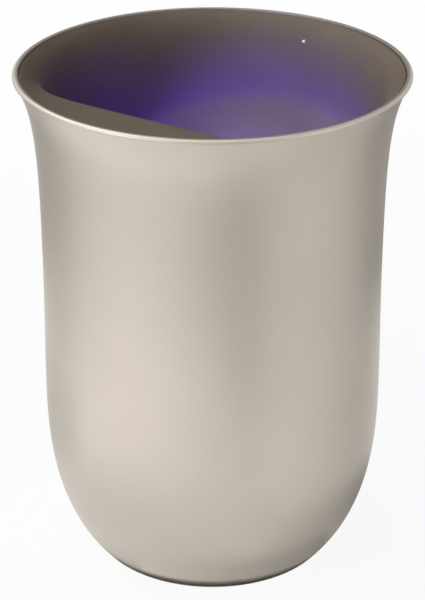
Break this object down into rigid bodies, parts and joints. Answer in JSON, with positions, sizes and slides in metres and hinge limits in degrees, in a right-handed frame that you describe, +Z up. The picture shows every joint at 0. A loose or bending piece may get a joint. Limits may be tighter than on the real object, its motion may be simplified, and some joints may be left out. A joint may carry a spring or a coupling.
{
  "type": "phone ultraviolet cleaning and charging cup",
  "caption": "Flared metal cup with a moulded liner that holds a leaning phone over an ultraviolet lamp window and a charging coil.",
  "frame": {"origin": "centre of the foot ring, on the plane that the cup stands on", "axes": "+Z up through the rim; -Y is the front, with the shelf; +Y is the back, with the pilot light, the start button and the power inlet"},
  "size_m": [0.136, 0.136, 0.182],
  "materials": {
    "champagne_metal": "satin metallic champagne",
    "taupe_plastic": "fine matte, taupe",
    "dark_plastic": "fine matte, near black",
    "foot_rubber": "matte",
    "rest_silicone": "matte, soft",
    "window_glass": "clear, polished",
    "lamp_body": "ceramic package with a violet lens",
    "pilot_lens": "clear light pipe",
    "board_green": "solder mask",
    "zinc_steel": "zinc plated",
    "coil_copper": "enamelled copper litz winding",
    "ferrite": "sintered, dark grey",
    "aluminium": "die cast",
    "lead_sleeve": "extruded sleeve"
  },
  "bodies": {
    "housing": {"ballast_plate": "zinc_steel", "base_cover": "dark_plastic", "base_screw_1": "zinc_steel", "base_screw_2": "zinc_steel", "base_screw_3": "zinc_steel", "base_screw_4": "zinc_steel", "board_screw_1": "zinc_steel", "board_screw_2": "zinc_steel", "board_screw_3": "zinc_steel", "board_screw_4": "zinc_steel", "button_board": "board_green", "button_board_screw_1": "zinc_steel", "button_board_screw_2": "zinc_steel", "button_lead": "lead_sleeve", "button_switch": "dark_plastic", "carrier_screw_1": "zinc_steel", "carrier_screw_2": "zinc_steel", "carrier_screw_3": "zinc_steel", "carrier_screw_4": "zinc_steel", "charging_coil": "coil_copper", "chassis": "dark_plastic", "coil_carrier": "dark_plastic", "coil_lead": "lead_sleeve", "deck_screw_1": "zinc_steel", "deck_screw_2": "zinc_steel", "ferrite_plate": "ferrite", "foot_ring": "foot_rubber", "indicator_board": "board_green", "indicator_lead": "lead_sleeve", "indicator_led": "lamp_body", "indicator_lens": "pilot_lens", "indicator_pad": "rest_silicone", "inlet_bezel": "dark_plastic", "inner_liner": "taupe_plastic", "main_board": "board_green", "outer_shell": "champagne_metal", "power_inlet": "zinc_steel", "rest_pad": "rest_silicone", "uv_board": "board_green", "uv_bracket": "aluminium", "uv_bracket_screw_1": "zinc_steel", "uv_bracket_screw_2": "zinc_steel", "uv_bracket_screw_3": "zinc_steel", "uv_bracket_screw_4": "zinc_steel", "uv_lead": "lead_sleeve", "uv_led_1": "lamp_body", "uv_led_2": "lamp_body", "uv_led_3": "lamp_body", "uv_led_4": "lamp_body", "uv_window": "window_glass"},
    "button": {"start_button": "champagne_metal"}
  },
  "joints": [
    {"name": "start_press", "type": "slide", "parent": "housing", "child": "button", "axis": [0, -1, 0], "range_m": [0, 0.0008], "stiffness_N_per_m": 1500, "springref_m": -0.0003}
  ]
}
